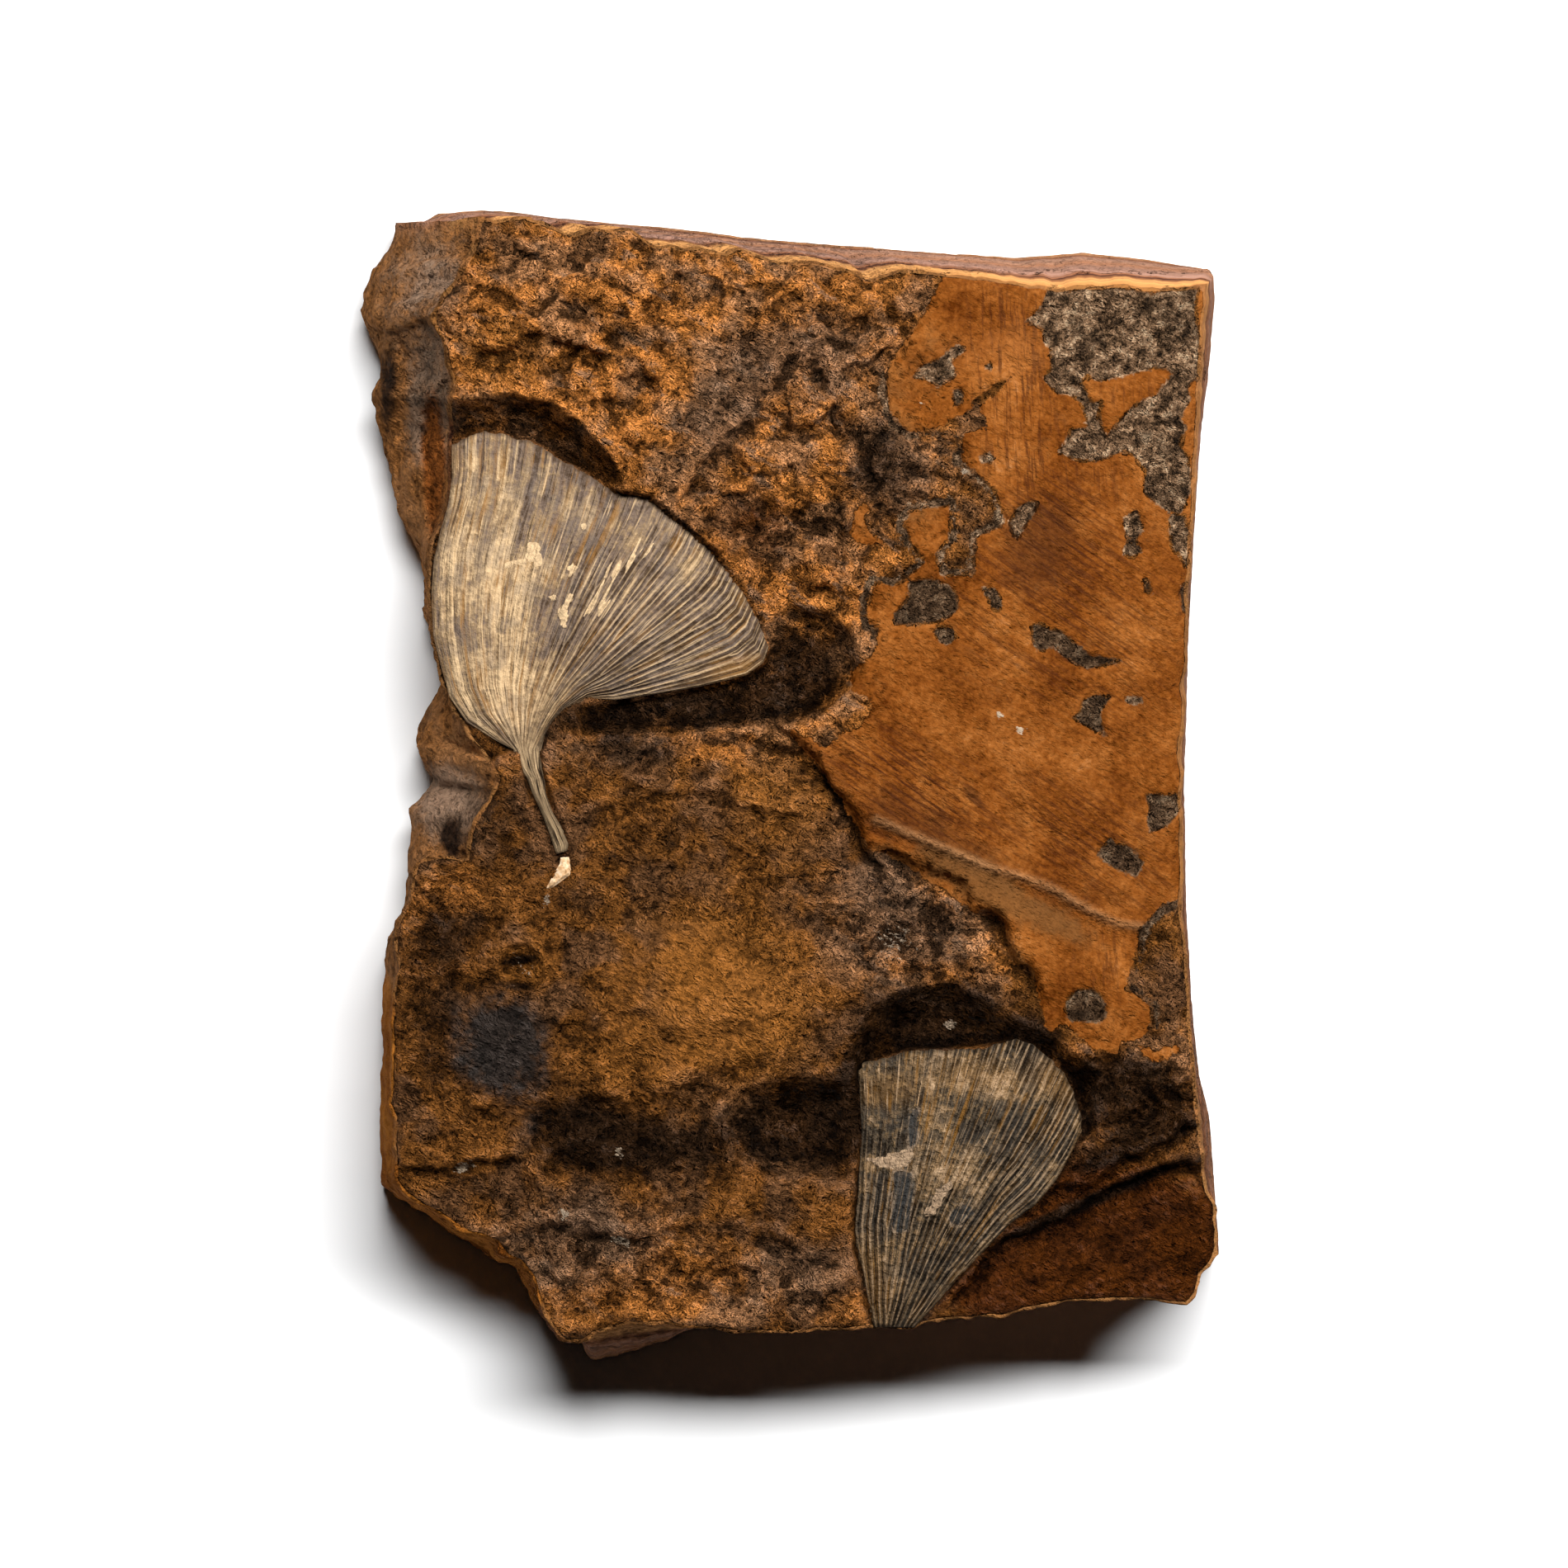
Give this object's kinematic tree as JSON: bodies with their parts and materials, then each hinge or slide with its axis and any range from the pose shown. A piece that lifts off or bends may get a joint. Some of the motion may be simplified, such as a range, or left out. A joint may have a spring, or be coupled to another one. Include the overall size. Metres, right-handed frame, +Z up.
{
  "type": "fossil leaf plate",
  "caption": "Broken slab of rust-brown ironstone with fossil ginkgo leaves in its upper face, lying flat on its underside.",
  "frame": {"origin": "under the middle of the slab's bounding box, on the surface that it rests on", "axes": "+Z up out of the leaf face, +Y along the slab's length to the edge behind the large leaf, +X to the side of the small leaf"},
  "size_m": [0.129, 0.1732, 0.0287],
  "materials": {
    "ironstone": "matte",
    "large_leaf_film": "matte",
    "small_leaf_film": "matte",
    "cream_crust": "matte"
  },
  "bodies": {
    "root": {"slab": "ironstone", "large_leaf": "large_leaf_film", "small_leaf": "small_leaf_film", "stem_flake": "cream_crust"}
  },
  "joints": []
}
